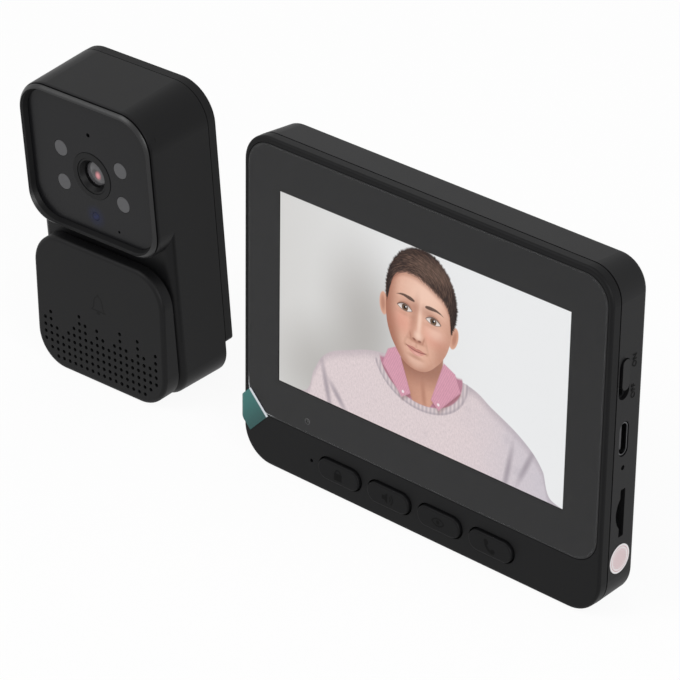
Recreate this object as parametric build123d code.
# Video doorbell with its table monitor: two small plastic housings, each with its electronics.
# Millimetres, +Z up. The doorbell's front faces -Y. The origin is on the floor, in the middle of
# the footprint of the pair. Each unit is modelled upright in its own frame and then stood in place.
from build123d import *
from math import asin, cos, degrees, radians, sin, tan
import os

# Common plastic work
SHELL_WALL = 1.75
BOARD_THICKNESS = 1.0
RUNNING_GAP = 0.1
FIT_GAP = 0.2
SCREW_SHANK = 2.0
SCREW_HEAD = 3.8
SCREW_HEAD_HEIGHT = 1.2
SCREW_EASE = 0.05
BOARD_CORNER = 1.0
BATTERY_CORNER = 1.5
SPEAKER_CAN_SHARE = 0.5
SPEAKER_MAGNET_SHARE = 0.6
BOSS_DIAMETER = 5.0
BOSS_SHOULDER = 7.0
BEYOND = 20.0                      # how far a cutting shape runs past what it cuts

# Doorbell: its back lies on the wall plane y = 0 and its front looks along -Y
BELL_WIDTH = 49.0
BELL_HEIGHT = 87.5
BELL_DEPTH = 25.1
BELL_TOP_RADIUS = 10.6
BELL_BOTTOM_RADIUS = 8.8
BELL_DRAFT = 2.0
BELL_SOLE_CUT = 0.4
BRACKET_THICKNESS = 2.6
NECK_DEPTH = 19.8
NECK_EDGE_ROUND = 2.4
CAMERA_HEAD_BOTTOM = 44.5
CAMERA_HEAD_RADIUS = 9.0
BEZEL_HEIGHT = 1.2
BEZEL_ROUND = 2.4
BEZEL_GROOVE = 0.6
WINDOW_SIDE_MARGIN = 2.45
WINDOW_TOP_MARGIN = 2.9
WINDOW_BOTTOM_MARGIN = 1.7
WINDOW_RECESS = 2.5
WINDOW_MOUTH_DRAFT = 20.0
WINDOW_THICKNESS = 1.2
WINDOW_RADIUS = 8.0
WINDOW_LEDGE = 1.4
WINDOW_LEDGE_HEIGHT = 1.0

# Camera behind the window
LENS_HEIGHT = 63.2
LENS_RING_DIAMETER = 13.5
LENS_RING_PROUD = 0.15
LENS_RING_FLANGE = 0.9
REAR_FLANGE = 0.5
LENS_BARREL_DIAMETER = 10.2
LENS_GLASS_DIAMETER = 7.4
LENS_RECESS = 1.2
LENS_DOME = 0.7
LENS_GLASS_THICKNESS = 1.2          # behind the dome
LENS_SEAT = 0.6
LENS_HOOD_RIM = 0.5
LENS_BARREL_LENGTH = 8.6
LENS_HOLDER_SIZE = 15.0
LENS_HOLDER_DEPTH = 3.2
LENS_HOLDER_CORNER = 1.0
IR_SPREAD_X = 21.6
IR_SPREAD_Z = 10.1
IR_LENS_DIAMETER = 4.5
IR_FLANGE_DIAMETER = 5.5
IR_LED_DIAMETER = 3.4
LIGHT_SENSOR_RISE = 12.2
LIGHT_SENSOR_HOLE = 1.2
LIGHT_SENSOR_DIAMETER = 2.4
INDICATOR_DROP = 12.1
INDICATOR_DIAMETER = 2.4
INDICATOR_FLANGE_DIAMETER = 3.4
BELL_MIC_OFFSET = 8.3
BELL_MIC_DROP = 14.1
BELL_MIC_HOLE = 0.8
BELL_MIC_DIAMETER = 2.4
CAMERA_BOARD_DEPTH = 17.2
CAMERA_BOARD_MARGIN = 2.0
CAMERA_BOSS_SHOULDER = 8.4
CAMERA_STAND_INSET = 0.85
CAMERA_STAND_Z = 56.0

# Call button plate
PLATE_WIDTH = 47.8
PLATE_HEIGHT = 40.0
PLATE_BOTTOM = 0.3
PLATE_RADIUS = 9.8
PLATE_GAP = 1.0
PLATE_TOP_THICKNESS = 3.4
PLATE_BOTTOM_THICKNESS = 5.8
PLATE_WALL = 1.5
PLATE_EDGE_ROUND = 1.2
PLATE_TRAVEL = 0.8
GRILLE_PITCH = 2.17
GRILLE_HOLE = 1.15
GRILLE_HOLE_SIDES = 8
GRILLE_BASE_ROWS = 4
GRILLE_FLOOR = 3.6
GRILLE_EDGE = 2.2
GRILLE_PEAKS = (2, 3, 1, 0, 1, 2, 4, 3, 1, 3, 2, 1, 2, 4, 2, 1, 4, 2, 1, 3)
POST_DIAMETER = 3.0
POST_SPREAD_X = 32.0
POST_HEIGHTS = (16.0, 33.0)
PLATE_SCREW_SHANK = 1.6
PLATE_SCREW_HEAD = 4.6
PLATE_SCREW_HEAD_HEIGHT = 0.9
PLATE_SCREW_BORE = 3.0
PLATE_SCREW_REACH = 2.8
CALL_SWITCH_HEIGHT = 24.5
CALL_PLUNGER_DIAMETER = 3.6
CALL_SWITCH_SIZE = 6.0
CALL_SWITCH_THICKNESS = 1.7
CALL_SWITCH_CORNER = 0.4
BUTTON_BOARD_WIDTH = 28.0
BUTTON_BOARD_HEIGHT = 10.0
BUTTON_BOARD_DEPTH = 14.0
BUTTON_STAND_INSET = 3.0
BUTTON_STAND_DIAMETER = 4.0

# Doorbell inside
BELL_SPEAKER_DIAMETER = 18.0
BELL_SPEAKER_THICKNESS = 3.8
BELL_SPEAKER_HEIGHT = 11.0
SOUND_SLOT_WIDTH = 1.2
SOUND_SLOT_LENGTH = 9.9
SOUND_SLOT_PITCH = 2.6
SOUND_SLOTS = 5
BACK_COVER_THICKNESS = 2.0
CASE_SCREW_BORE = 8.0
CASE_SCREW_REACH = 6.0
BELL_BOARD_DEPTH = 7.0
BELL_BATTERY_WIDTH = 30.0
BELL_BATTERY_HEIGHT = 42.0
BELL_BATTERY_THICKNESS = 4.2
BELL_BATTERY_BOTTOM = 9.0
BELL_BOSS_INSET_X = 5.2
BELL_BOSS_INSET_Z = 8.4
BELL_PORT_HEIGHT = 5.6
BELL_ANTENNA_MARGIN = 0.8
BELL_ANTENNA_HEIGHT = 4.0
BELL_ANTENNA_DROP = 1.4
ANTENNA_THICKNESS = 0.4

# Wall bracket
BRACKET_BOTTOM = 10.5
BRACKET_CORNER = 1.5
BRACKET_HOLE = 4.2
BRACKET_HOLE_LOW = 24.0
BRACKET_HOLE_SPACING = 44.0
BRACKET_SINK = 7.6
HOOK_SPREAD_X = 26.0
HOOK_HEIGHTS = (30.0, 62.0)
HOOK_WIDTH = 5.0
HOOK_STEM = 2.2
HOOK_HEAD = 2.4
HOOK_HEAD_THICKNESS = 1.0
HOOK_TRAVEL = 4.0

# Monitor: its front is the plane y = 0, its back looks along +Y, and z starts at its lower edge
MONITOR_WIDTH = 119.6
MONITOR_HEIGHT = 93.2
MONITOR_DEPTH = 13.5
MONITOR_TOP_RADIUS = 8.4
MONITOR_BOTTOM_RADIUS = 9.4
MONITOR_DRAFT = 3.2
SEAM_DEPTH = 2.9
SEAM_GROOVE = 0.4
SEAM_GROOVE_DEPTH = 0.55
FRONT_EDGE_ROUND = 0.8
REAR_EDGE_ROUND = 1.2
MONITOR_LEAN = 5.6
MONITOR_TURN = -1.8
SOLE_DEPTH = 6.0
FRONT_SKIN = 1.6
LIP_DEPTH = 1.4

# Display
PANEL_SIDE_MARGIN = 1.4
PANEL_TOP_MARGIN = 1.7
PANEL_BOTTOM = 14.4
PANEL_RADIUS = 7.3
PANEL_THICKNESS = 0.8
PANEL_GAP = 0.15
SCREEN_WIDTH = 95.04
SCREEN_HEIGHT = 53.86
LCD_WIDTH = 105.5
LCD_HEIGHT = 67.2
LCD_THICKNESS = 3.0
LCD_GLASS_THICKNESS = 0.3
LCD_GLASS_BORDER = 1.5
RIBBON_WIDTH = 24.0
RIBBON_LENGTH = 26.0
RIBBON_START = 4.0
RIBBON_THICKNESS = 0.3
FILM_THICKNESS = 0.1
FILM_MARGIN = 0.3
TAB_WIDTH = 8.8
TAB_SHIFT = 0.9
TAB_ROOT = 5.7
TAB_END = 14.6
TAB_CURL_RADIUS = 1.5
TAB_CURL_DEPTH = 2.3
STATUS_LIGHT_X = -37.2
STATUS_LIGHT_DROP = 8.02
STATUS_LIGHT_HOLE = 1.2

# Keys
KEY_WIDTH = 14.2
KEY_HEIGHT = 5.8
KEY_PITCH = 17.05
KEY_CENTRE = 7.2
KEY_PROUD = 0.9
KEY_GAP = 0.4
KEY_FLANGE = 0.8
KEY_FLANGE_THICKNESS = 0.6
KEY_TRAVEL = 0.6
KEY_STEM = 2.4
KEY_STEM_LENGTH = 1.0
KEY_NAMES = ("key_unlock", "key_volume", "key_view", "key_answer")
KEY_SWITCH_SIZE = 4.5
KEY_SWITCH_THICKNESS = 1.6
KEY_SWITCH_CORNER = 0.3
KEY_BOARD_HEIGHT = 9.0
KEY_BOARD_MARGIN = 10.0
KEY_STAND_INSET = 2.0
KEY_STAND_DIAMETER = 3.6
MONITOR_MIC_X = -35.6
MONITOR_MIC_HOLE = 1.0
MONITOR_MIC_DIAMETER = 4.0
MONITOR_MIC_THICKNESS = 1.6

# Right side of the monitor
SWITCH_SLOT_WIDTH = 4.2
SWITCH_SLOT_Y = 5.9
SWITCH_SLOT_Z = 64.2
SWITCH_SLOT_SINK = 1.1
SWITCH_KNOB_LENGTH = 8.2
SWITCH_KNOB_WIDTH = 2.6
SWITCH_KNOB_PROUD = 0.5
SWITCH_TRAVEL = 2.6
USB_WIDTH = 8.9
USB_THICKNESS = 3.2
USB_SHELL = 0.3
USB_DEPTH = 7.3
USB_MARGIN = 0.25
USB_Y = 6.9
USB_Z = 47.6
USB_TONGUE = 0.7
RESET_Y = 7.1
RESET_Z = 39.7
RESET_HOLE = 1.3
RESET_PIN = 1.0
RESET_TRAVEL = 0.3
CARD_SLOT_LENGTH = 13.2
CARD_SLOT_WIDTH = 1.9
CARD_SLOT_Y = 7.7
CARD_SLOT_Z = 27.0
CARD_NOTCH_RADIUS = 6.3
CARD_NOTCH_DEPTH = 1.5
CARD_SOCKET_WIDTH = 14.0
CARD_SOCKET_DEPTH = 14.6
CARD_SOCKET_THICKNESS = 1.9
STICKER_DIAMETER = 7.8
STICKER_Y = 7.7
STICKER_Z = 14.2
STICKER_THICKNESS = 0.1

# Monitor inside
MONITOR_BOARD_LEFT = 25.0
MONITOR_BOARD_BOTTOM = 14.5
MONITOR_BOARD_DROP = 7.2
MONITOR_BOARD_DEPTH = 8.7
BOARD_STAND_INSET = 4.0
BOARD_STAND_SIDE = 9.0
MONITOR_BATTERY_WIDTH = 30.0
MONITOR_BATTERY_HEIGHT = 46.0
MONITOR_BATTERY_THICKNESS = 4.4
MONITOR_BATTERY_INSET = 4.8
MONITOR_BATTERY_BOTTOM = 16.0
MONITOR_SPEAKER_DIAMETER = 20.0
MONITOR_SPEAKER_THICKNESS = 4.0
MONITOR_SPEAKER_X = -36.0
MONITOR_SPEAKER_DROP = 16.2
REAR_GRILLE_ROWS = 3
REAR_GRILLE_COLUMNS = 5
REAR_GRILLE_PITCH = 3.2
REAR_GRILLE_HOLE = 1.6
MONITOR_BOSS_DIAMETER = 4.0
MONITOR_SCREW_SHANK = 1.6
MONITOR_SCREW_HEAD = 3.2
MONITOR_SCREW_CLEAR = 2.0           # from the front skin to the screw's tip
MONITOR_BOSS_INSET_TOP = 5.2
MONITOR_BOSS_INSET_BOTTOM = 5.6
MONITOR_ANTENNA_WIDTH = 40.0
MONITOR_ANTENNA_HEIGHT = 5.0
MONITOR_ANTENNA_X = 20.0
MONITOR_ANTENNA_DROP = 0.6

# Fold-out stand on the monitor's back
STAND_WIDTH = 40.0
STAND_LENGTH = 34.0
STAND_THICKNESS = 2.4
STAND_PIN_DIAMETER = 1.6
STAND_PIN_HEIGHT = 9.0
STAND_BAY_GAP = 0.4
STAND_BAY_FLOOR = 1.3
STAND_FINGER_RADIUS = 5.0
STAND_RIM = 7.0

# Where the monitor stands beside the doorbell
PAIR_OFFSET_X = 113.2
PAIR_OFFSET_Y = -30.2

UPRIGHT_FRONT = (0, -1, 0)
UPRIGHT_BACK = (0, 1, 0)


def facing(x, y, z, normal=UPRIGHT_FRONT):
    """A drawing plane that stands upright, with its own y axis pointing up."""
    across = (1, 0, 0) if normal == UPRIGHT_FRONT else (-1, 0, 0)
    return Plane(origin=(x, y, z), x_dir=across, z_dir=normal)


def outline(width, height, top_radius, bottom_radius):
    shape = Rectangle(width, height)
    if top_radius > 0:
        shape = fillet(shape.vertices().group_by(Axis.Y)[-1], top_radius)
    if bottom_radius > 0:
        shape = fillet(shape.vertices().group_by(Axis.Y)[0], bottom_radius)
    return shape


def slab(width, height, radii, front, back, bottom, across=0.0, draft=0.0, towards_front=True):
    """An upright rounded plate from y = front to y = back, narrowing by the draft angle."""
    normal = UPRIGHT_FRONT if towards_front else UPRIGHT_BACK
    start = back if towards_front else front
    plane = facing(across, start, bottom + height / 2, normal)
    return extrude(plane * outline(width, height, *radii), back - front, taper=draft)


def rod(diameter, front, back, x, z):
    """A round bar along Y."""
    return extrude(facing(x, back, z) * Circle(diameter / 2), back - front)


def cross_rod(diameter, left, right, y, z):
    """A round bar along X."""
    plane = Plane(origin=(left, y, z), x_dir=(0, 1, 0), z_dir=(1, 0, 0))
    return extrude(plane * Circle(diameter / 2), right - left)


def block(x0, x1, y0, y1, z0, z1):
    return Pos((x0 + x1) / 2, (y0 + y1) / 2, (z0 + z1) / 2) * Box(x1 - x0, y1 - y0, z1 - z0)


def side_slot(length, width, left, right, y, z, end_radius=None):
    """A bar along X whose section is an upright slot in the YZ plane."""
    radius = width / 2 - 0.01 if end_radius is None else end_radius
    plane = Plane(origin=(left, y, z), x_dir=(0, 1, 0), z_dir=(1, 0, 0))
    return extrude(plane * RectangleRounded(width, length, radius), right - left)


def outer_rim(part, y):
    """The outline edges of the outermost wire of the face in the plane y."""
    face = [f for f in part.faces() if abs(f.center().Y - y) < 0.01
            and f.bounding_box().size.Y < 0.01]
    face = max(face, key=lambda f: f.bounding_box().size.X * f.bounding_box().size.Z)
    return face.outer_wire().edges()


# Doorbell, built upright with the wall plane at y = 0

BELL_BACK = -(BRACKET_THICKNESS + FIT_GAP)
HEAD_FRONT = -(BELL_DEPTH - BEZEL_HEIGHT)
DRAFT_SLOPE = tan(radians(BELL_DRAFT))
WINDOW_FRONT = -(BELL_DEPTH - WINDOW_RECESS)
WINDOW_BACK = WINDOW_FRONT + WINDOW_THICKNESS
PLATE_BACK = -(NECK_DEPTH + PLATE_GAP)
NECK_INSIDE = -(NECK_DEPTH - SHELL_WALL)
COVER_FRONT = BELL_BACK - BACK_COVER_THICKNESS


def drafted_inset(y):
    """How far the drafted walls have drawn in at depth y."""
    return DRAFT_SLOPE * (BELL_BACK - y)


def window_slab(front, back, inset):
    """A slice with the outline of the window's opening, drawn in by the inset."""
    width = BELL_WIDTH - 2 * (WINDOW_SIDE_MARGIN + inset)
    top = BELL_HEIGHT - WINDOW_TOP_MARGIN - inset
    bottom = CAMERA_HEAD_BOTTOM + WINDOW_BOTTOM_MARGIN + inset
    radius = WINDOW_RADIUS - inset
    return slab(width, top - bottom, (radius, radius), front, back, bottom)


def window_mouth():
    """The opening in front of the window: its walls slope outwards to the bezel's face."""
    width = BELL_WIDTH - 2 * WINDOW_SIDE_MARGIN
    bottom = CAMERA_HEAD_BOTTOM + WINDOW_BOTTOM_MARGIN
    return slab(width, BELL_HEIGHT - WINDOW_TOP_MARGIN - bottom, (WINDOW_RADIUS, WINDOW_RADIUS),
                -BELL_DEPTH, WINDOW_FRONT, bottom, draft=-WINDOW_MOUTH_DRAFT)


def bell_body(front, back, inset, radius_cut):
    """The tall drafted body between two depths, drawn in all round."""
    draw = drafted_inset(back) + inset
    width = BELL_WIDTH - 2 * draw
    bottom = -BELL_SOLE_CUT + draw
    height = BELL_HEIGHT - draw - bottom
    radii = (BELL_TOP_RADIUS - radius_cut, BELL_BOTTOM_RADIUS - radius_cut)
    return slab(width, height, radii, front, back, bottom, draft=BELL_DRAFT)


def camera_head(front, back, inset, radius_cut):
    """The camera head's drafted outside, from the back of the housing to its face."""
    draw = drafted_inset(back) + inset
    width = BELL_WIDTH - 2 * draw
    top = BELL_HEIGHT - draw
    bottom = CAMERA_HEAD_BOTTOM - DRAFT_SLOPE * (back - front) + inset
    radii = (BELL_TOP_RADIUS - radius_cut, CAMERA_HEAD_RADIUS - radius_cut)
    return slab(width, top - bottom, radii, front, back, bottom, draft=BELL_DRAFT)


def corner_places(width, height, inset_x, inset_low, inset_high):
    half = width / 2 - inset_x
    return [(x, z) for x in (-half, half) for z in (inset_low, height - inset_high)]


BELL_BOSSES = corner_places(BELL_WIDTH, BELL_HEIGHT, BELL_BOSS_INSET_X, BELL_BOSS_INSET_Z,
                            BELL_BOSS_INSET_Z)
HOOK_PLACES = [(x, z) for x in (-HOOK_SPREAD_X / 2, HOOK_SPREAD_X / 2) for z in HOOK_HEIGHTS]
POST_PLACES = [(x, z) for x in (-POST_SPREAD_X / 2, POST_SPREAD_X / 2) for z in POST_HEIGHTS]
IR_PLACES = [(x, LENS_HEIGHT + z) for x in (-IR_SPREAD_X / 2, IR_SPREAD_X / 2)
             for z in (-IR_SPREAD_Z / 2, IR_SPREAD_Z / 2)]
BUTTON_STAND_X = BUTTON_BOARD_WIDTH / 2 - BUTTON_STAND_INSET
CAMERA_STAND_X = BELL_WIDTH / 2 - WINDOW_SIDE_MARGIN - WINDOW_LEDGE - CAMERA_STAND_INSET


def rounded_camera_head():
    """The whole drafted head with its front edge rounded, before the bezel is parted from it."""
    head = camera_head(-BELL_DEPTH, BELL_BACK, 0, 0)
    return fillet(outer_rim(head, -BELL_DEPTH), BEZEL_ROUND)


def make_bell_housing():
    lower = bell_body(-NECK_DEPTH, BELL_BACK, 0, 0)
    lower = fillet(outer_rim(lower, -NECK_DEPTH), NECK_EDGE_ROUND)
    ahead = block(-BELL_WIDTH, BELL_WIDTH, -2 * BELL_DEPTH, HEAD_FRONT, 0, 2 * BELL_HEIGHT)
    shell = lower + (rounded_camera_head() - ahead)
    groove_back = HEAD_FRONT + SEAM_GROOVE
    groove = block(-BELL_WIDTH, BELL_WIDTH, HEAD_FRONT, groove_back, 0, 2 * BELL_HEIGHT)
    shell -= groove - camera_head(HEAD_FRONT, groove_back, BEZEL_GROOVE, BEZEL_GROOVE)
    shell -= bell_body(NECK_INSIDE, BELL_BACK, SHELL_WALL, SHELL_WALL)
    ledge_back = WINDOW_BACK + WINDOW_LEDGE_HEIGHT
    shell -= camera_head(ledge_back, BELL_BACK, SHELL_WALL, SHELL_WALL)
    shell -= window_slab(HEAD_FRONT, WINDOW_BACK, 0) + window_mouth()
    shell -= window_slab(WINDOW_BACK - FIT_GAP, ledge_back + FIT_GAP, WINDOW_LEDGE)
    board_front = -BELL_BOARD_DEPTH - BOARD_THICKNESS
    for x, z in BELL_BOSSES:
        root = ledge_back - 0.5 if z > CAMERA_HEAD_BOTTOM else NECK_INSIDE - 0.5
        boss = rod(BOSS_DIAMETER, root, COVER_FRONT, x, z) + rod(BOSS_SHOULDER, root, board_front, x, z)
        if z > CAMERA_HEAD_BOTTOM:
            boss += rod(CAMERA_BOSS_SHOULDER, root, -CAMERA_BOARD_DEPTH, x, z)
        shell += boss - rod(SCREW_SHANK, COVER_FRONT - CASE_SCREW_BORE, COVER_FRONT, x, z)
    for x in (-CAMERA_STAND_X, CAMERA_STAND_X):
        shell += rod(POST_DIAMETER, ledge_back - 0.5, -CAMERA_BOARD_DEPTH, x, CAMERA_STAND_Z)
    for x, z in POST_PLACES:
        shell -= rod(POST_DIAMETER + 2 * RUNNING_GAP, -BELL_DEPTH, NECK_INSIDE + 1, x, z)
    shell -= rod(CALL_PLUNGER_DIAMETER + 2 * RUNNING_GAP, -BELL_DEPTH, NECK_INSIDE + 1,
                 0, CALL_SWITCH_HEIGHT)
    for x in (-BUTTON_STAND_X, BUTTON_STAND_X):
        shell += rod(BUTTON_STAND_DIAMETER, NECK_INSIDE, -BUTTON_BOARD_DEPTH, x, CALL_SWITCH_HEIGHT)
    for index in range(SOUND_SLOTS):
        x = (index - (SOUND_SLOTS - 1) / 2) * SOUND_SLOT_PITCH
        slot = slab(SOUND_SLOT_WIDTH, SOUND_SLOT_LENGTH, (0, 0), -BELL_DEPTH, NECK_INSIDE + 1,
                    BELL_SPEAKER_HEIGHT - SOUND_SLOT_LENGTH / 2, x)
        shell -= slot
    floor_cut = block(-BELL_WIDTH, BELL_WIDTH, -2 * BELL_DEPTH, BELL_DEPTH, -BEYOND, 0)
    return shell - floor_cut


def make_bell_back_cover():
    draw = SHELL_WALL + FIT_GAP
    cover = slab(BELL_WIDTH - 2 * draw, BELL_HEIGHT + BELL_SOLE_CUT - 2 * draw,
                 (BELL_TOP_RADIUS - draw, BELL_BOTTOM_RADIUS - draw), COVER_FRONT, BELL_BACK,
                 draw - BELL_SOLE_CUT)
    for x, z in BELL_BOSSES:
        cover -= rod(SCREW_SHANK + FIT_GAP, COVER_FRONT, BELL_BACK, x, z)
        cover -= rod(SCREW_HEAD + FIT_GAP, BELL_BACK - SCREW_HEAD_HEIGHT, BELL_BACK, x, z)
    for x, z in HOOK_PLACES:
        low = z - HOOK_STEM / 2 - HOOK_TRAVEL - FIT_GAP
        high = z + HOOK_STEM / 2
        half = HOOK_WIDTH / 2 + FIT_GAP
        cover -= block(x - half, x + half, COVER_FRONT - 1, BELL_BACK + 1, low, high)
    port = slab(USB_WIDTH + 2 * USB_MARGIN, USB_THICKNESS + 2 * USB_MARGIN, (1.7, 1.7),
                COVER_FRONT, BELL_BACK, BELL_PORT_HEIGHT - USB_THICKNESS / 2 - USB_MARGIN)
    return cover - port


def make_bell_case_screws():
    screws = []
    for x, z in BELL_BOSSES:
        head_back = BELL_BACK - RUNNING_GAP
        head = rod(SCREW_HEAD, BELL_BACK - SCREW_HEAD_HEIGHT, head_back, x, z)
        shank = rod(SCREW_SHANK - SCREW_EASE, COVER_FRONT - CASE_SCREW_REACH,
                    BELL_BACK - SCREW_HEAD_HEIGHT, x, z)
        screws.append(head + shank)
    return screws


def make_camera_bezel():
    behind = block(-BELL_WIDTH, BELL_WIDTH, HEAD_FRONT, BELL_DEPTH, 0, 2 * BELL_HEIGHT)
    return rounded_camera_head() - behind - window_mouth()


def make_camera_window():
    pane = window_slab(WINDOW_FRONT, WINDOW_BACK, RUNNING_GAP)
    pane -= rod(LENS_RING_DIAMETER + 2 * RUNNING_GAP, WINDOW_FRONT, WINDOW_BACK, 0, LENS_HEIGHT)
    for x, z in IR_PLACES:
        pane -= rod(IR_LENS_DIAMETER + 2 * RUNNING_GAP, WINDOW_FRONT, WINDOW_BACK, x, z)
    pane -= rod(LIGHT_SENSOR_HOLE, WINDOW_FRONT, WINDOW_BACK, 0, LENS_HEIGHT + LIGHT_SENSOR_RISE)
    pane -= rod(INDICATOR_DIAMETER, WINDOW_FRONT, WINDOW_BACK, 0, LENS_HEIGHT - INDICATOR_DROP)
    pane -= rod(BELL_MIC_HOLE, WINDOW_FRONT, WINDOW_BACK, BELL_MIC_OFFSET,
                LENS_HEIGHT - BELL_MIC_DROP)
    return pane


def make_lens_trim_ring():
    ring = rod(LENS_RING_DIAMETER, WINDOW_FRONT - LENS_RING_PROUD, WINDOW_BACK, 0, LENS_HEIGHT)
    ring += rod(LENS_RING_DIAMETER + 2 * LENS_RING_FLANGE, WINDOW_BACK,
                WINDOW_BACK + REAR_FLANGE, 0, LENS_HEIGHT)
    return ring - rod(LENS_BARREL_DIAMETER + 2 * RUNNING_GAP, WINDOW_FRONT - 1,
                      WINDOW_BACK + REAR_FLANGE, 0, LENS_HEIGHT)


def lens_axis_revolve(profile):
    """Turn a profile drawn as (radius, distance behind the window's face) about the lens axis."""
    points = [(radius, -depth) for radius, depth in profile]
    plane = Plane(origin=(0, WINDOW_FRONT, LENS_HEIGHT), x_dir=(1, 0, 0), z_dir=(0, 0, -1))
    face = plane * make_face(Polyline(*points, close=True))
    return revolve(face, Axis((0, WINDOW_FRONT, LENS_HEIGHT), (0, 1, 0)))


def make_lens_barrel():
    outer = LENS_BARREL_DIAMETER / 2
    glass = LENS_GLASS_DIAMETER / 2
    bore = glass - LENS_SEAT
    seat = LENS_RECESS + LENS_DOME + LENS_GLASS_THICKNESS
    steps = [(outer, 0), (outer, LENS_BARREL_LENGTH), (bore, LENS_BARREL_LENGTH), (bore, seat)]
    hood = [(glass + RUNNING_GAP, seat), (glass + RUNNING_GAP, LENS_RECESS),
            (outer - LENS_HOOD_RIM, 0)]
    return lens_axis_revolve(steps + hood)


def make_lens_glass():
    radius = LENS_GLASS_DIAMETER / 2
    body = rod(LENS_GLASS_DIAMETER, WINDOW_FRONT + LENS_RECESS, WINDOW_FRONT + LENS_RECESS
               + LENS_DOME + LENS_GLASS_THICKNESS, 0, LENS_HEIGHT)
    ball_radius = (radius ** 2 + LENS_DOME ** 2) / (2 * LENS_DOME)
    ball = Pos(0, WINDOW_FRONT + LENS_RECESS + ball_radius, LENS_HEIGHT) * Sphere(ball_radius)
    return body & ball


def make_lens_holder():
    front = -CAMERA_BOARD_DEPTH + BOARD_THICKNESS
    seat = WINDOW_FRONT + LENS_BARREL_LENGTH
    low = LENS_HEIGHT - LENS_HOLDER_SIZE / 2
    holder = slab(LENS_HOLDER_SIZE, LENS_HOLDER_SIZE, (LENS_HOLDER_CORNER, LENS_HOLDER_CORNER),
                  front, seat + LENS_HOLDER_DEPTH, low)
    return holder - rod(LENS_BARREL_DIAMETER + 2 * RUNNING_GAP, front, seat, 0, LENS_HEIGHT)


def make_ir_lenses():
    lenses = []
    for x, z in IR_PLACES:
        lens = rod(IR_LENS_DIAMETER, WINDOW_FRONT, WINDOW_BACK, x, z)
        lenses.append(lens + rod(IR_FLANGE_DIAMETER, WINDOW_BACK, WINDOW_BACK + REAR_FLANGE, x, z))
    return lenses


def make_ir_leds():
    return [rod(IR_LED_DIAMETER, WINDOW_BACK + REAR_FLANGE, -CAMERA_BOARD_DEPTH, x, z)
            for x, z in IR_PLACES]


def make_camera_board():
    back = -CAMERA_BOARD_DEPTH + BOARD_THICKNESS
    board = window_slab(-CAMERA_BOARD_DEPTH, back, CAMERA_BOARD_MARGIN)
    board -= rod(LENS_BARREL_DIAMETER + 2 * FIT_GAP, -CAMERA_BOARD_DEPTH, back, 0, LENS_HEIGHT)
    for x, z in BELL_BOSSES:
        board -= rod(BOSS_SHOULDER + 2 * FIT_GAP, -CAMERA_BOARD_DEPTH, back, x, z)
    return board


def make_light_sensor():
    return rod(LIGHT_SENSOR_DIAMETER, WINDOW_BACK, -CAMERA_BOARD_DEPTH, 0,
               LENS_HEIGHT + LIGHT_SENSOR_RISE)


def make_indicator_light():
    guide = rod(INDICATOR_DIAMETER - 2 * RUNNING_GAP, WINDOW_FRONT, WINDOW_BACK, 0,
                LENS_HEIGHT - INDICATOR_DROP)
    return guide + rod(INDICATOR_FLANGE_DIAMETER, WINDOW_BACK, -CAMERA_BOARD_DEPTH, 0,
                       LENS_HEIGHT - INDICATOR_DROP)


def make_bell_microphone():
    return rod(BELL_MIC_DIAMETER, WINDOW_BACK, -CAMERA_BOARD_DEPTH, BELL_MIC_OFFSET,
               LENS_HEIGHT - BELL_MIC_DROP)


def plate_front_at(z):
    """Depth of the plate's sloping face at a height."""
    slope = (PLATE_BOTTOM_THICKNESS - PLATE_TOP_THICKNESS) / PLATE_HEIGHT
    return PLATE_BACK - PLATE_BOTTOM_THICKNESS + slope * (z - PLATE_BOTTOM)


def plate_wedge(inset, front_inset):
    """The plate's wedge, drawn in from its rim and from its sloping face."""
    block_front = PLATE_BACK - PLATE_BOTTOM_THICKNESS - 2
    plate = slab(PLATE_WIDTH - 2 * inset, PLATE_HEIGHT - 2 * inset,
                 (PLATE_RADIUS - inset, PLATE_RADIUS - inset), block_front, PLATE_BACK,
                 PLATE_BOTTOM + inset)
    top_y = PLATE_BACK - PLATE_TOP_THICKNESS + front_inset
    bottom_y = PLATE_BACK - PLATE_BOTTOM_THICKNESS + front_inset
    bottom_z = PLATE_BOTTOM
    top_z = PLATE_BOTTOM + PLATE_HEIGHT
    side = Plane(origin=(-PLATE_WIDTH, 0, 0), x_dir=(0, 1, 0), z_dir=(1, 0, 0))
    slope = (bottom_y - top_y) / PLATE_HEIGHT
    corners = [(bottom_y + slope * BEYOND, bottom_z - BEYOND),
               (top_y - slope * BEYOND, top_z + BEYOND),
               (block_front - BEYOND, top_z + BEYOND), (block_front - BEYOND, bottom_z - BEYOND)]
    ahead = extrude(side * make_face(Polyline(*corners, close=True)), 2 * PLATE_WIDTH)
    return plate - ahead


def grille_places():
    """Hole centres on a square grid, column by column, kept off the plate's rounded corners."""
    places = []
    columns = len(GRILLE_PEAKS)
    half = PLATE_WIDTH / 2
    for column, peak in enumerate(GRILLE_PEAKS):
        x = (column - (columns - 1) / 2) * GRILLE_PITCH
        for row in range(GRILLE_BASE_ROWS + peak):
            z = GRILLE_FLOOR + row * GRILLE_PITCH
            into_corner = abs(x) - (half - PLATE_RADIUS)
            below_corner = PLATE_BOTTOM + PLATE_RADIUS - z
            if into_corner > 0 and below_corner > 0:
                if (into_corner ** 2 + below_corner ** 2) ** 0.5 > PLATE_RADIUS - GRILLE_EDGE:
                    continue
            if abs(x) < half - GRILLE_EDGE:
                places.append((x, z))
    return places


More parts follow.
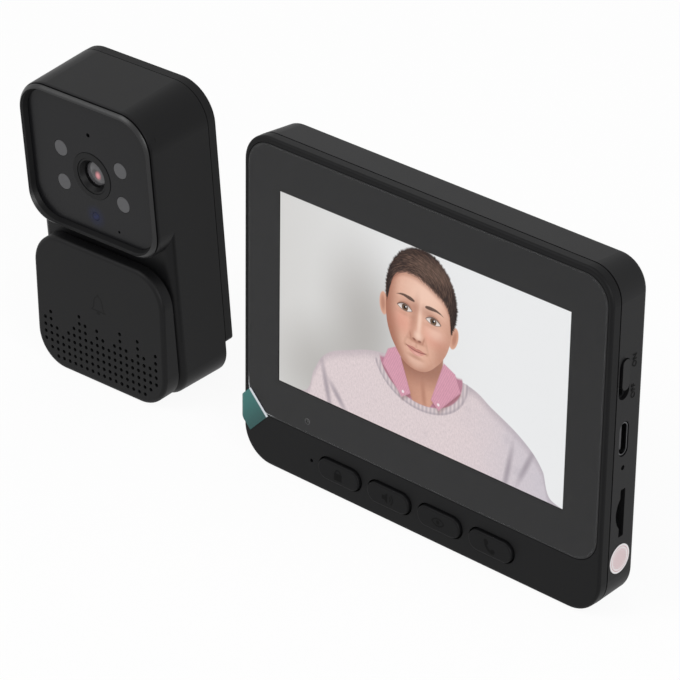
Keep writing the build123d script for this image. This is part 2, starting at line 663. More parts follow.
def make_call_button_plate():
    plate = plate_wedge(0, 0)
    front_face = plate.faces().sort_by(Axis.Y)[0]
    plate = fillet(front_face.outer_wire().edges(), PLATE_EDGE_ROUND)
    plate -= plate_wedge(PLATE_WALL, PLATE_WALL)
    deep = -2 * BELL_DEPTH
    face = facing(0, deep, 0)
    hole = RegularPolygon(GRILLE_HOLE / 2, GRILLE_HOLE_SIDES)
    holes = [Pos(x, z) * hole for x, z in grille_places()]
    plate -= extrude(face * Sketch(holes), deep - PLATE_BACK - 0.3)
    for x, z in POST_PLACES:
        root = plate_front_at(z) + PLATE_WALL / 2
        plate += rod(POST_DIAMETER, root, NECK_INSIDE, x, z)
        plate -= rod(PLATE_SCREW_SHANK, NECK_INSIDE - PLATE_SCREW_BORE, NECK_INSIDE, x, z)
    plunger_root = plate_front_at(CALL_SWITCH_HEIGHT) + PLATE_WALL / 2
    plunger_end = -BUTTON_BOARD_DEPTH - CALL_SWITCH_THICKNESS - PLATE_TRAVEL - RUNNING_GAP
    plate += rod(CALL_PLUNGER_DIAMETER, plunger_root, plunger_end, 0, CALL_SWITCH_HEIGHT)
    return plate


def make_plate_screws():
    """Screws driven into the plate's posts from inside: their heads hold the plate in."""
    screws = []
    head_back = NECK_INSIDE + PLATE_SCREW_HEAD_HEIGHT
    for x, z in POST_PLACES:
        screw = rod(PLATE_SCREW_HEAD, NECK_INSIDE, head_back, x, z)
        screw += rod(PLATE_SCREW_SHANK - SCREW_EASE, NECK_INSIDE - PLATE_SCREW_REACH, NECK_INSIDE,
                     x, z)
        screws.append(screw)
    return screws


def make_call_switch():
    low = CALL_SWITCH_HEIGHT - CALL_SWITCH_SIZE / 2
    return slab(CALL_SWITCH_SIZE, CALL_SWITCH_SIZE, (CALL_SWITCH_CORNER, CALL_SWITCH_CORNER),
                -BUTTON_BOARD_DEPTH - CALL_SWITCH_THICKNESS, -BUTTON_BOARD_DEPTH, low)


def make_button_board():
    return slab(BUTTON_BOARD_WIDTH, BUTTON_BOARD_HEIGHT, (BOARD_CORNER, BOARD_CORNER),
                -BUTTON_BOARD_DEPTH, -BUTTON_BOARD_DEPTH + BOARD_THICKNESS,
                CALL_SWITCH_HEIGHT - BUTTON_BOARD_HEIGHT / 2)


def make_bell_speaker():
    front = NECK_INSIDE
    can = rod(BELL_SPEAKER_DIAMETER, front, front + BELL_SPEAKER_THICKNESS * SPEAKER_CAN_SHARE, 0,
              BELL_SPEAKER_HEIGHT)
    return can + rod(BELL_SPEAKER_DIAMETER * SPEAKER_MAGNET_SHARE, front,
                     front + BELL_SPEAKER_THICKNESS, 0, BELL_SPEAKER_HEIGHT)


def make_bell_main_board():
    front = -BELL_BOARD_DEPTH - BOARD_THICKNESS
    draw = SHELL_WALL + drafted_inset(front) + 2 * FIT_GAP
    board = slab(BELL_WIDTH - 2 * draw, BELL_HEIGHT - 2 * draw,
                 (BELL_TOP_RADIUS - draw, BELL_BOTTOM_RADIUS - draw), front, -BELL_BOARD_DEPTH, draw)
    for x, z in BELL_BOSSES:
        board -= rod(BOSS_DIAMETER + 2 * FIT_GAP, front, -BELL_BOARD_DEPTH, x, z)
    return board


def make_bell_battery():
    back = -BELL_BOARD_DEPTH - BOARD_THICKNESS
    return slab(BELL_BATTERY_WIDTH, BELL_BATTERY_HEIGHT, (BATTERY_CORNER, BATTERY_CORNER),
                back - BELL_BATTERY_THICKNESS, back, BELL_BATTERY_BOTTOM)


def make_bell_charge_port():
    low = BELL_PORT_HEIGHT - USB_THICKNESS / 2
    shell = slab(USB_WIDTH, USB_THICKNESS, (1.5, 1.5), -BELL_BOARD_DEPTH, BELL_BACK - 0.3, low)
    shell -= slab(USB_WIDTH - 2 * USB_SHELL, USB_THICKNESS - 2 * USB_SHELL, (1.2, 1.2),
                  -BELL_BOARD_DEPTH + 0.8, BELL_BACK, low + USB_SHELL)
    tongue = slab(USB_WIDTH - 2.2, USB_TONGUE, (0, 0), -BELL_BOARD_DEPTH + 0.8, BELL_BACK - 1.0,
                  BELL_PORT_HEIGHT - USB_TONGUE / 2)
    return shell + tongue


def make_bell_antenna():
    """A film antenna on the main board, between the two upper screw bosses."""
    top = BELL_HEIGHT - SHELL_WALL - drafted_inset(-BELL_BOARD_DEPTH) - BELL_ANTENNA_DROP
    half = BELL_WIDTH / 2 - BELL_BOSS_INSET_X - BOSS_SHOULDER / 2 - BELL_ANTENNA_MARGIN
    front = -BELL_BOARD_DEPTH - BOARD_THICKNESS
    return block(-half, half, front - ANTENNA_THICKNESS, front, top - BELL_ANTENNA_HEIGHT, top)


def make_wall_bracket():
    plate = slab(BELL_WIDTH, BELL_HEIGHT + BELL_SOLE_CUT, (BELL_TOP_RADIUS, BELL_BOTTOM_RADIUS),
                 -BRACKET_THICKNESS, 0, -BELL_SOLE_CUT)
    plate -= block(-BELL_WIDTH, BELL_WIDTH, -BELL_DEPTH, BELL_DEPTH, -BEYOND, BRACKET_BOTTOM)
    lower_corners = plate.edges().filter_by(Axis.Y).sort_by(Axis.Z)[:2]
    plate = fillet(lower_corners, BRACKET_CORNER)
    for z in (BRACKET_HOLE_LOW, BRACKET_HOLE_LOW + BRACKET_HOLE_SPACING):
        plate -= rod(BRACKET_HOLE, -BELL_DEPTH, BELL_DEPTH, 0, z)
        sink = Cone(BRACKET_HOLE / 2, BRACKET_SINK / 2, (BRACKET_SINK - BRACKET_HOLE) / 2)
        depth = (BRACKET_SINK - BRACKET_HOLE) / 2
        plate -= Pos(0, -BRACKET_THICKNESS + depth / 2, z) * Rot(90, 0, 0) * sink
    for x, z in HOOK_PLACES:
        half = HOOK_WIDTH / 2
        stem_end = COVER_FRONT - FIT_GAP
        head_end = stem_end - HOOK_HEAD_THICKNESS
        low = z - HOOK_STEM / 2
        high = z + HOOK_STEM / 2
        plate += block(x - half, x + half, head_end, -BRACKET_THICKNESS, low, high)
        plate += block(x - half, x + half, head_end, stem_end, low, high + HOOK_HEAD)
    return plate


# Monitor, built upright with its front at y = 0

BOSS_MEETING = MONITOR_DEPTH / 2
MONITOR_SLOPE = tan(radians(MONITOR_DRAFT))
SIDE_X = MONITOR_WIDTH / 2
PANEL_WIDTH = MONITOR_WIDTH - 2 * PANEL_SIDE_MARGIN
PANEL_HEIGHT = MONITOR_HEIGHT - PANEL_BOTTOM - PANEL_TOP_MARGIN
SCREEN_BOTTOM = PANEL_BOTTOM + (PANEL_HEIGHT - SCREEN_HEIGHT) / 2
STATUS_LIGHT_Z = SCREEN_BOTTOM - STATUS_LIGHT_DROP
BACK_INSIDE = MONITOR_DEPTH - SHELL_WALL
KEY_PLACES = [(index - (len(KEY_NAMES) - 1) / 2) * KEY_PITCH for index in range(len(KEY_NAMES))]
KEY_STEM_END = FRONT_SKIN + KEY_FLANGE_THICKNESS + KEY_STEM_LENGTH
KEY_SWITCH_TOP = KEY_STEM_END + KEY_TRAVEL + RUNNING_GAP
KEY_BOARD_FRONT = KEY_SWITCH_TOP + KEY_SWITCH_THICKNESS
KEY_BOARD_HALF = KEY_PLACES[-1] + KEY_WIDTH / 2 + KEY_BOARD_MARGIN
SWITCH_SLOT_LENGTH = SWITCH_KNOB_LENGTH + SWITCH_TRAVEL + 2 * RUNNING_GAP
MONITOR_BOSSES = [(side * (MONITOR_WIDTH / 2 - inset), z)
                  for side in (-1, 1)
                  for inset, z in ((MONITOR_BOSS_INSET_BOTTOM, MONITOR_BOSS_INSET_BOTTOM),
                                   (MONITOR_BOSS_INSET_TOP, MONITOR_HEIGHT - MONITOR_BOSS_INSET_TOP))]
LCD_BOTTOM = SCREEN_BOTTOM - (LCD_HEIGHT - SCREEN_HEIGHT) / 2
MONITOR_BOARD_TOP = MONITOR_HEIGHT - MONITOR_BOARD_DROP
MONITOR_SPEAKER_Z = MONITOR_HEIGHT - MONITOR_SPEAKER_DROP
BOARD_STANDS = [(MONITOR_BOARD_LEFT + BOARD_STAND_INSET, MONITOR_BOARD_BOTTOM + BOARD_STAND_INSET),
                (MONITOR_BOARD_LEFT + BOARD_STAND_INSET, MONITOR_BOARD_TOP - BOARD_STAND_INSET),
                (SIDE_X - BOARD_STAND_SIDE, (MONITOR_BOARD_BOTTOM + MONITOR_BOARD_TOP) / 2)]
SOLE_START = MONITOR_DEPTH - SOLE_DEPTH
STAND_PIN_Y = MONITOR_DEPTH - STAND_THICKNESS / 2 - 0.2
BAY_FRONT = MONITOR_DEPTH - STAND_THICKNESS - STAND_BAY_GAP


def side_inset(y):
    """How far the rear shell's drafted side has drawn in at depth y."""
    return MONITOR_SLOPE * (y - SEAM_DEPTH)


def monitor_slab(front, back, inset):
    return slab(MONITOR_WIDTH - 2 * inset, MONITOR_HEIGHT - 2 * inset,
                (MONITOR_TOP_RADIUS - inset, MONITOR_BOTTOM_RADIUS - inset), front, back, inset)


def rear_slab(front, back, inset):
    draw = side_inset(front) + inset
    bottom = inset
    height = MONITOR_HEIGHT - draw - bottom
    radii = (MONITOR_TOP_RADIUS - inset, MONITOR_BOTTOM_RADIUS - inset)
    return slab(MONITOR_WIDTH - 2 * draw, height, radii, front, back, bottom,
                draft=MONITOR_DRAFT, towards_front=False)


def key_shape(grow, front, back, x):
    plane = facing(x, back, KEY_CENTRE)
    return extrude(plane * SlotOverall(KEY_WIDTH + 2 * grow, KEY_HEIGHT + 2 * grow), back - front)


def make_front_frame():
    frame = monitor_slab(0, SEAM_DEPTH, 0)
    frame = fillet(outer_rim(frame, 0), FRONT_EDGE_ROUND)
    lip_inset = SHELL_WALL / 2 + RUNNING_GAP
    frame += monitor_slab(SEAM_DEPTH - 0.5, SEAM_DEPTH + LIP_DEPTH, lip_inset)
    frame -= monitor_slab(FRONT_SKIN, SEAM_DEPTH + LIP_DEPTH, SHELL_WALL)
    frame -= slab(PANEL_WIDTH + 2 * PANEL_GAP, PANEL_HEIGHT + 2 * PANEL_GAP,
                  (PANEL_RADIUS, PANEL_RADIUS), -1, PANEL_THICKNESS, PANEL_BOTTOM - PANEL_GAP)
    frame -= slab(LCD_WIDTH + 2 * FIT_GAP, LCD_HEIGHT + 2 * FIT_GAP, (0.8, 0.8), 0, SEAM_DEPTH,
                  LCD_BOTTOM - FIT_GAP)
    for x in KEY_PLACES:
        frame -= key_shape(KEY_GAP, -1, SEAM_DEPTH, x)
    frame -= rod(MONITOR_MIC_HOLE, -1, SEAM_DEPTH, MONITOR_MIC_X, KEY_CENTRE)
    clear = SHELL_WALL + side_inset(BOSS_MEETING) + FIT_GAP
    bosses = [rod(MONITOR_BOSS_DIAMETER, FRONT_SKIN, BOSS_MEETING, x, z) for x, z in MONITOR_BOSSES]
    for boss in bosses:
        frame += boss & monitor_slab(FRONT_SKIN, BOSS_MEETING, clear)
    for x, z in MONITOR_BOSSES:
        frame -= rod(MONITOR_SCREW_SHANK, FRONT_SKIN + 1, MONITOR_DEPTH, x, z)
    for x in (-KEY_BOARD_HALF + KEY_STAND_INSET, KEY_BOARD_HALF - KEY_STAND_INSET):
        frame += rod(KEY_STAND_DIAMETER, FRONT_SKIN, KEY_BOARD_FRONT, x, KEY_CENTRE)
    return frame


def make_display_panel():
    panel = slab(PANEL_WIDTH, PANEL_HEIGHT, (PANEL_RADIUS, PANEL_RADIUS), 0, PANEL_THICKNESS,
                 PANEL_BOTTOM)
    return panel - rod(STATUS_LIGHT_HOLE, -1, PANEL_THICKNESS, STATUS_LIGHT_X, STATUS_LIGHT_Z)


def make_status_light():
    pipe = rod(STATUS_LIGHT_HOLE - 2 * RUNNING_GAP, 0.1, PANEL_THICKNESS, STATUS_LIGHT_X,
               STATUS_LIGHT_Z)
    return pipe


def make_lcd_module():
    front = PANEL_THICKNESS
    back = PANEL_THICKNESS + LCD_THICKNESS
    glass_back = front + LCD_GLASS_THICKNESS
    module = slab(LCD_WIDTH, LCD_HEIGHT, (0.5, 0.5), glass_back, back, LCD_BOTTOM)
    glass = slab(SCREEN_WIDTH + 2 * LCD_GLASS_BORDER, SCREEN_HEIGHT + 2 * LCD_GLASS_BORDER, (0, 0),
                 front, glass_back, SCREEN_BOTTOM - LCD_GLASS_BORDER)
    ribbon_low = LCD_BOTTOM + RIBBON_START
    ribbon = block(-RIBBON_WIDTH / 2, RIBBON_WIDTH / 2, back, back + RIBBON_THICKNESS, ribbon_low,
                   ribbon_low + RIBBON_LENGTH)
    return module + glass + ribbon


def make_screen_film():
    return slab(PANEL_WIDTH - 2 * FILM_MARGIN, PANEL_HEIGHT - 2 * FILM_MARGIN,
                (PANEL_RADIUS, PANEL_RADIUS), -FILM_THICKNESS, 0, PANEL_BOTTOM + FILM_MARGIN)


def make_film_pull_tab():
    """A tab on the film's lower left corner that curls back round the monitor's side."""
    corner_x = -(PANEL_WIDTH / 2 - FILM_MARGIN - PANEL_RADIUS)
    corner_z = PANEL_BOTTOM + FILM_MARGIN + PANEL_RADIUS
    front = -2 * FILM_THICKNESS
    fold_x = -SIDE_X + FIT_GAP
    flat = Pos((fold_x + corner_x) / 2, front + FILM_THICKNESS / 2) * Rectangle(
        corner_x - fold_x, FILM_THICKNESS)
    ring = Circle(TAB_CURL_RADIUS) - Circle(TAB_CURL_RADIUS - FILM_THICKNESS)
    curl_area = Pos(-TAB_CURL_RADIUS, TAB_CURL_DEPTH / 2 - TAB_CURL_RADIUS) * Rectangle(
        2 * TAB_CURL_RADIUS, TAB_CURL_DEPTH)
    curl = Pos(fold_x, front + TAB_CURL_RADIUS) * (ring & curl_area)
    sheet = extrude(Pos(0, 0, corner_z - BEYOND) * (flat + curl), 2 * BEYOND)
    strip = Rot(0, 0, 225) * Pos((TAB_ROOT + TAB_END) / 2, TAB_SHIFT) * Rectangle(
        TAB_END - TAB_ROOT, TAB_WIDTH)
    return sheet & extrude(facing(corner_x, BEYOND, corner_z) * strip, 2 * BEYOND)


def make_rear_shell():
    shell = rear_slab(SEAM_DEPTH, MONITOR_DEPTH, 0)
    shell = fillet(outer_rim(shell, MONITOR_DEPTH), REAR_EDGE_ROUND)
    groove_back = SEAM_DEPTH + SEAM_GROOVE
    groove = block(-MONITOR_WIDTH, MONITOR_WIDTH, SEAM_DEPTH, groove_back, -BEYOND,
                   MONITOR_HEIGHT + BEYOND)
    shell -= groove - rear_slab(SEAM_DEPTH, groove_back, SEAM_GROOVE_DEPTH)
    shell -= rear_slab(SEAM_DEPTH - 1, BACK_INSIDE, SHELL_WALL)
    shell -= monitor_slab(SEAM_DEPTH - 1, SEAM_DEPTH + LIP_DEPTH + FIT_GAP, SHELL_WALL / 2)
    for x, z in MONITOR_BOSSES:
        shell += rod(MONITOR_BOSS_DIAMETER, BOSS_MEETING, BACK_INSIDE + 0.5, x, z)
        shell -= rod(MONITOR_SCREW_SHANK + FIT_GAP, BOSS_MEETING, MONITOR_DEPTH, x, z)
        shell -= rod(MONITOR_SCREW_HEAD + FIT_GAP, MONITOR_DEPTH - 2 * SCREW_HEAD_HEIGHT,
                     MONITOR_DEPTH + 1, x, z)
    for x, z in BOARD_STANDS:
        shell += rod(BOSS_DIAMETER, MONITOR_BOARD_DEPTH + BOARD_THICKNESS, BACK_INSIDE + 0.5, x, z)
    shell = add_stand_bay(shell)
    for row in range(REAR_GRILLE_ROWS):
        for column in range(REAR_GRILLE_COLUMNS):
            x = MONITOR_SPEAKER_X + (column - (REAR_GRILLE_COLUMNS - 1) / 2) * REAR_GRILLE_PITCH
            z = MONITOR_SPEAKER_Z + (row - (REAR_GRILLE_ROWS - 1) / 2) * REAR_GRILLE_PITCH
            shell -= rod(REAR_GRILLE_HOLE, BACK_INSIDE - 1, MONITOR_DEPTH + 1, x, z)
    inside = SIDE_X - 3 * SHELL_WALL
    outside = SIDE_X + 1
    switch_floor = SIDE_X - side_inset(SWITCH_SLOT_Y) - SWITCH_SLOT_SINK
    shell -= side_slot(SWITCH_SLOT_LENGTH, SWITCH_SLOT_WIDTH, switch_floor, outside,
                       SWITCH_SLOT_Y, SWITCH_SLOT_Z)
    shell -= side_slot(SWITCH_KNOB_LENGTH + SWITCH_TRAVEL - 1.0, SWITCH_KNOB_WIDTH - 1.0, inside,
                       outside, SWITCH_SLOT_Y, SWITCH_SLOT_Z, 0.4)
    shell -= side_slot(USB_WIDTH + 2 * USB_MARGIN, USB_THICKNESS + 2 * USB_MARGIN, inside, outside,
                       USB_Y, USB_Z)
    shell -= cross_rod(RESET_HOLE, inside, outside, RESET_Y, RESET_Z)
    shell -= side_slot(CARD_SLOT_LENGTH, CARD_SLOT_WIDTH, inside, outside, CARD_SLOT_Y, CARD_SLOT_Z,
                       0.3)
    shell -= card_notch(inside, outside)
    return shell - floor_wedge()


def card_notch(inside, outside):
    """The finger notch: a shallow arc cut from the card slot's front edge."""
    notch_front = CARD_SLOT_Y - CARD_SLOT_WIDTH / 2 - CARD_NOTCH_DEPTH
    arc = cross_rod(2 * CARD_NOTCH_RADIUS, inside, outside, notch_front + CARD_NOTCH_RADIUS,
                    CARD_SLOT_Z)
    return arc & block(inside, outside, 0, CARD_SLOT_Y, CARD_SLOT_Z - CARD_SLOT_LENGTH / 2,
                       CARD_SLOT_Z + CARD_SLOT_LENGTH / 2)


def floor_wedge():
    """What lies below the floor when the monitor leans back: it leaves a flat sole."""
    slope = tan(radians(MONITOR_LEAN))
    level = side_inset(SOLE_START)
    plane = Plane(origin=(-MONITOR_WIDTH, SOLE_START, level), x_dir=(0, 1, 0), z_dir=(1, 0, 0))
    corners = [(-BEYOND, -slope * BEYOND), (BEYOND, slope * BEYOND), (BEYOND, -BEYOND)]
    return extrude(plane * make_face(Polyline(*corners, close=True)), 2 * MONITOR_WIDTH)


def sole_rise():
    """How high the monitor's own zero lies above the floor when it leans back on its sole."""
    lean = radians(MONITOR_LEAN)
    return SOLE_START * sin(lean) - side_inset(SOLE_START) * cos(lean)


def stand_turn():
    """How far the leg turns below straight back until its round tip is on the floor."""
    lean = radians(MONITOR_LEAN)
    pivot_height = sole_rise() - STAND_PIN_Y * sin(lean) + STAND_PIN_HEIGHT * cos(lean)
    drop = pivot_height - STAND_THICKNESS / 2
    return degrees(asin(drop / (STAND_LENGTH - STAND_THICKNESS / 2))) - MONITOR_LEAN


def bay_extent():
    """Half width, lower edge and upper edge of the stand's bay: the leg rests on the lower edge."""
    turn = radians(stand_turn())
    low = STAND_PIN_HEIGHT - (MONITOR_DEPTH - STAND_PIN_Y) * tan(turn) - STAND_THICKNESS / 2 / cos(turn)
    return STAND_WIDTH / 2 + STAND_BAY_GAP, low, STAND_PIN_HEIGHT + STAND_LENGTH + STAND_BAY_GAP


def add_stand_bay(shell):
    """A walled recess for the folded stand, with bored cheeks that hold its pin."""
    half, low, high = bay_extent()
    wall = STAND_BAY_FLOOR
    shell += block(-half - wall, half + wall, BAY_FRONT - wall, BACK_INSIDE + 0.5, low - wall,
                   high + wall)
    shell -= block(-half, half, BAY_FRONT, MONITOR_DEPTH + 1, low, high)
    pin_half = half + 0.9 * wall
    shell -= cross_rod(STAND_PIN_DIAMETER + 0.04, -pin_half, pin_half, STAND_PIN_Y, STAND_PIN_HEIGHT)
    notch = Pos(0, MONITOR_DEPTH, high) * Rot(90, 0, 0) * Cylinder(STAND_FINGER_RADIUS, 3.0)
    return shell - notch


def make_kickstand():
    """The leg as it stands when it is folded out, its round tip on the floor."""
    length = STAND_LENGTH - STAND_THICKNESS / 2
    half = STAND_WIDTH / 2
    leg = block(-half, half, 0, length, -STAND_THICKNESS / 2, STAND_THICKNESS / 2)
    for y in (0, length):
        leg += cross_rod(STAND_THICKNESS, -half, half, y, 0)
    leg -= block(-half + STAND_RIM, half - STAND_RIM, STAND_RIM, length - STAND_RIM, 0.4,
                 STAND_THICKNESS)
    leg -= cross_rod(STAND_PIN_DIAMETER + RUNNING_GAP, -STAND_WIDTH, STAND_WIDTH, 0, 0)
    return Pos(0, STAND_PIN_Y, STAND_PIN_HEIGHT) * Rot(-stand_turn(), 0, 0) * leg


def make_kickstand_pin():
    half, low, high = bay_extent()
    reach = half + 0.85 * STAND_BAY_FLOOR
    return cross_rod(STAND_PIN_DIAMETER, -reach, reach, STAND_PIN_Y, STAND_PIN_HEIGHT)


def make_key(x):
    cap_back = FRONT_SKIN
    cap = key_shape(0, -KEY_PROUD, cap_back, x)
    cap = fillet(outer_rim(cap, -KEY_PROUD), 0.5)
    flange = key_shape(KEY_FLANGE, cap_back, cap_back + KEY_FLANGE_THICKNESS, x)
    stem = rod(KEY_STEM, cap_back, KEY_STEM_END, x, KEY_CENTRE)
    return cap + flange + stem


def make_key_board():
    return slab(2 * KEY_BOARD_HALF, KEY_BOARD_HEIGHT, (BOARD_CORNER, BOARD_CORNER), KEY_BOARD_FRONT,
                KEY_BOARD_FRONT + BOARD_THICKNESS, KEY_CENTRE - KEY_BOARD_HEIGHT / 2)


def make_key_switches():
    low = KEY_CENTRE - KEY_SWITCH_SIZE / 2
    return [slab(KEY_SWITCH_SIZE, KEY_SWITCH_SIZE, (KEY_SWITCH_CORNER, KEY_SWITCH_CORNER),
                 KEY_SWITCH_TOP, KEY_BOARD_FRONT, low, x) for x in KEY_PLACES]


def make_monitor_microphone():
    return rod(MONITOR_MIC_DIAMETER, FRONT_SKIN, FRONT_SKIN + MONITOR_MIC_THICKNESS, MONITOR_MIC_X,
               KEY_CENTRE)


def make_power_switch_knob():
    floor_x = SIDE_X - side_inset(SWITCH_SLOT_Y) - SWITCH_SLOT_SINK
    face_x = SIDE_X - side_inset(SWITCH_SLOT_Y) + SWITCH_KNOB_PROUD
    z = SWITCH_SLOT_Z + SWITCH_TRAVEL / 2
    knob = side_slot(SWITCH_KNOB_LENGTH, SWITCH_KNOB_WIDTH, floor_x + RUNNING_GAP, face_x,
                     SWITCH_SLOT_Y, z)
    stem = block(floor_x - SHELL_WALL - 1.2, floor_x + RUNNING_GAP + 0.2, SWITCH_SLOT_Y - 0.6,
                 SWITCH_SLOT_Y + 0.6, z - 1.5, z + 1.5)
    return knob + stem


def make_power_switch_body():
    right = SIDE_X - 3 * SHELL_WALL + 0.1
    body = block(right - 4.0, right, SWITCH_SLOT_Y - 2.0, MONITOR_BOARD_DEPTH, SWITCH_SLOT_Z - 5,
                 SWITCH_SLOT_Z + 5)
    groove = block(right - 1.5, right + 1, SWITCH_SLOT_Y - 0.8, SWITCH_SLOT_Y + 0.8,
                   SWITCH_SLOT_Z - 4, SWITCH_SLOT_Z + 4)
    return body - groove


def make_usb_c_port():
    right = SIDE_X - side_inset(USB_Y) - 0.3
    left = right - USB_DEPTH
    shell = side_slot(USB_WIDTH, USB_THICKNESS, left, right, USB_Y, USB_Z)
    shell -= side_slot(USB_WIDTH - 2 * USB_SHELL, USB_THICKNESS - 2 * USB_SHELL, left + 1, right + 1,
                       USB_Y, USB_Z)
    tongue = block(left + 0.5, right - 0.8, USB_Y - USB_TONGUE / 2, USB_Y + USB_TONGUE / 2,
                   USB_Z - USB_WIDTH / 2 + 1.2, USB_Z + USB_WIDTH / 2 - 1.2)
    foot = block(left + 1, right - 2.5, USB_Y + 0.9, MONITOR_BOARD_DEPTH, USB_Z - 3.2, USB_Z + 3.2)
    foot -= side_slot(USB_WIDTH - 0.2, USB_THICKNESS - 0.2, left, right, USB_Y, USB_Z)
    return shell + tongue + foot


def make_reset_switch():
    right = SIDE_X - 3 * SHELL_WALL
    body = block(right - 3.5, right, RESET_Y - 1.5, MONITOR_BOARD_DEPTH, RESET_Z - 1.8, RESET_Z + 1.8)
    return body - cross_rod(RESET_PIN + 2 * RUNNING_GAP, right - 1.2, right + 1, RESET_Y, RESET_Z)


def make_reset_button():
    right = SIDE_X - 3 * SHELL_WALL
    return cross_rod(RESET_PIN, right - 1.2 + RESET_TRAVEL + RUNNING_GAP,
                     SIDE_X - side_inset(RESET_Y) - SHELL_WALL, RESET_Y, RESET_Z)


def make_card_socket():
    right = SIDE_X - side_inset(CARD_SLOT_Y) - SHELL_WALL - FIT_GAP
    back = MONITOR_BOARD_DEPTH
    front = back - CARD_SOCKET_THICKNESS
    socket = block(right - CARD_SOCKET_DEPTH, right, front, back, CARD_SLOT_Z - CARD_SOCKET_WIDTH / 2,
                   CARD_SLOT_Z + CARD_SOCKET_WIDTH / 2)
    return socket - block(right - CARD_SOCKET_DEPTH + 1, right + 1, front + 0.4, back - 0.5,
                          CARD_SLOT_Z - CARD_SLOT_LENGTH / 2, CARD_SLOT_Z + CARD_SLOT_LENGTH / 2)


def make_round_sticker():
    turn = MONITOR_DRAFT
    disc = Cylinder(STICKER_DIAMETER / 2, STICKER_THICKNESS)
    x = SIDE_X - side_inset(STICKER_Y) + STICKER_THICKNESS / 2
    return Pos(x, STICKER_Y, STICKER_Z) * Rot(0, 0, turn) * Rot(0, 90, 0) * disc


def make_monitor_main_board():
    right = SIDE_X - side_inset(MONITOR_BOARD_DEPTH) - SHELL_WALL - 2 * FIT_GAP
    back = MONITOR_BOARD_DEPTH + BOARD_THICKNESS
    board = block(MONITOR_BOARD_LEFT, right, MONITOR_BOARD_DEPTH, back, MONITOR_BOARD_BOTTOM,
                  MONITOR_BOARD_TOP)
    for x, z in MONITOR_BOSSES:
        board -= rod(BOSS_DIAMETER + 2 * FIT_GAP, MONITOR_BOARD_DEPTH, back, x, z)
    return board


def make_monitor_battery():
    front = PANEL_THICKNESS + LCD_THICKNESS
    across = -SIDE_X + MONITOR_BATTERY_INSET + MONITOR_BATTERY_WIDTH / 2
    return slab(MONITOR_BATTERY_WIDTH, MONITOR_BATTERY_HEIGHT, (BATTERY_CORNER, BATTERY_CORNER), front,
                front + MONITOR_BATTERY_THICKNESS, MONITOR_BATTERY_BOTTOM, across)


def make_monitor_speaker():
    back = BACK_INSIDE
    can = rod(MONITOR_SPEAKER_DIAMETER, back - MONITOR_SPEAKER_THICKNESS * SPEAKER_CAN_SHARE, back,
              MONITOR_SPEAKER_X, MONITOR_SPEAKER_Z)
    return can + rod(MONITOR_SPEAKER_DIAMETER * SPEAKER_MAGNET_SHARE,
                     back - MONITOR_SPEAKER_THICKNESS, back, MONITOR_SPEAKER_X, MONITOR_SPEAKER_Z)


def make_monitor_case_screws():
    screws = []
    head_back = MONITOR_DEPTH - SCREW_HEAD_HEIGHT
    head_front = MONITOR_DEPTH - 2 * SCREW_HEAD_HEIGHT
    for x, z in MONITOR_BOSSES:
        head = rod(MONITOR_SCREW_HEAD, head_front, head_back, x, z)
        shank = rod(MONITOR_SCREW_SHANK - SCREW_EASE, FRONT_SKIN + MONITOR_SCREW_CLEAR, head_front,
                    x, z)
        screws.append(head + shank)
    return screws


def make_monitor_antenna():
    top = MONITOR_HEIGHT - side_inset(BACK_INSIDE) - SHELL_WALL - MONITOR_ANTENNA_DROP
    return block(MONITOR_ANTENNA_X - MONITOR_ANTENNA_WIDTH / 2,
                 MONITOR_ANTENNA_X + MONITOR_ANTENNA_WIDTH / 2, BACK_INSIDE - ANTENNA_THICKNESS,
                 BACK_INSIDE, top - MONITOR_ANTENNA_HEIGHT, top)


def as_shape(result):
    """One solid, or a group of separate solids for repeated pieces."""
    return Compound(result) if isinstance(result, list) else result


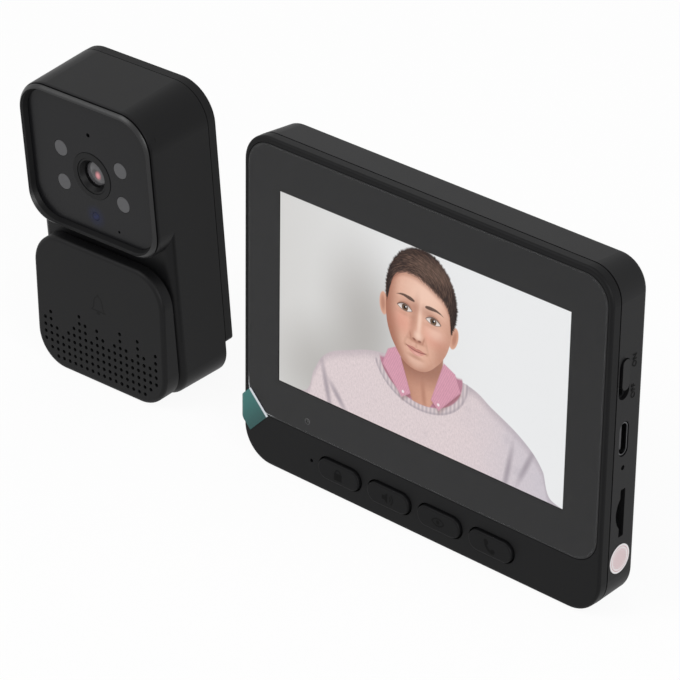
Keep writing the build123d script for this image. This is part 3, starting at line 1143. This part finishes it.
doorbell = {
    "bell_housing": make_bell_housing(),
    "bell_back_cover": make_bell_back_cover(),
    "bell_case_screws": make_bell_case_screws(),
    "camera_bezel": make_camera_bezel(),
    "camera_window": make_camera_window(),
    "lens_trim_ring": make_lens_trim_ring(),
    "lens_barrel": make_lens_barrel(),
    "lens_glass": make_lens_glass(),
    "lens_holder": make_lens_holder(),
    "ir_lenses": make_ir_lenses(),
    "ir_leds": make_ir_leds(),
    "camera_board": make_camera_board(),
    "light_sensor": make_light_sensor(),
    "indicator_light": make_indicator_light(),
    "bell_microphone": make_bell_microphone(),
    "call_button_plate": make_call_button_plate(),
    "plate_screws": make_plate_screws(),
    "call_switch": make_call_switch(),
    "button_board": make_button_board(),
    "bell_speaker": make_bell_speaker(),
    "bell_main_board": make_bell_main_board(),
    "bell_battery": make_bell_battery(),
    "bell_charge_port": make_bell_charge_port(),
    "bell_antenna": make_bell_antenna(),
    "wall_bracket": make_wall_bracket(),
}

monitor = {
    "front_frame": make_front_frame(),
    "rear_shell": make_rear_shell(),
    "display_panel": make_display_panel(),
    "status_light": make_status_light(),
    "lcd_module": make_lcd_module(),
    "screen_film": make_screen_film(),
    "film_pull_tab": make_film_pull_tab(),
    "key_board": make_key_board(),
    "key_switches": make_key_switches(),
    "monitor_microphone": make_monitor_microphone(),
    "power_switch_body": make_power_switch_body(),
    "power_switch_knob": make_power_switch_knob(),
    "usb_c_port": make_usb_c_port(),
    "reset_switch": make_reset_switch(),
    "reset_button": make_reset_button(),
    "card_socket": make_card_socket(),
    "round_sticker": make_round_sticker(),
    "monitor_main_board": make_monitor_main_board(),
    "monitor_battery": make_monitor_battery(),
    "monitor_speaker": make_monitor_speaker(),
    "monitor_antenna": make_monitor_antenna(),
    "monitor_case_screws": make_monitor_case_screws(),
    "kickstand": make_kickstand(),
    "kickstand_pin": make_kickstand_pin(),
}
for name, x in zip(KEY_NAMES, KEY_PLACES):
    monitor[name] = make_key(x)

monitor_place = (Pos(PAIR_OFFSET_X, PAIR_OFFSET_Y, sole_rise()) * Rot(0, 0, MONITOR_TURN)
                 * Rot(-MONITOR_LEAN, 0, 0))
pieces = {name: as_shape(shape) for name, shape in doorbell.items()}
pieces.update({name: monitor_place * as_shape(shape) for name, shape in monitor.items()})

bounds = Compound(list(pieces.values())).bounding_box()
to_origin = Pos(-bounds.center().X, -bounds.center().Y, -bounds.min.Z)

os.makedirs("parts", exist_ok=True)
for name, shape in pieces.items():
    export_step(to_origin * shape, f"parts/{name}.step")
print("origin moved by", to_origin.position, "overall size", bounds.size)
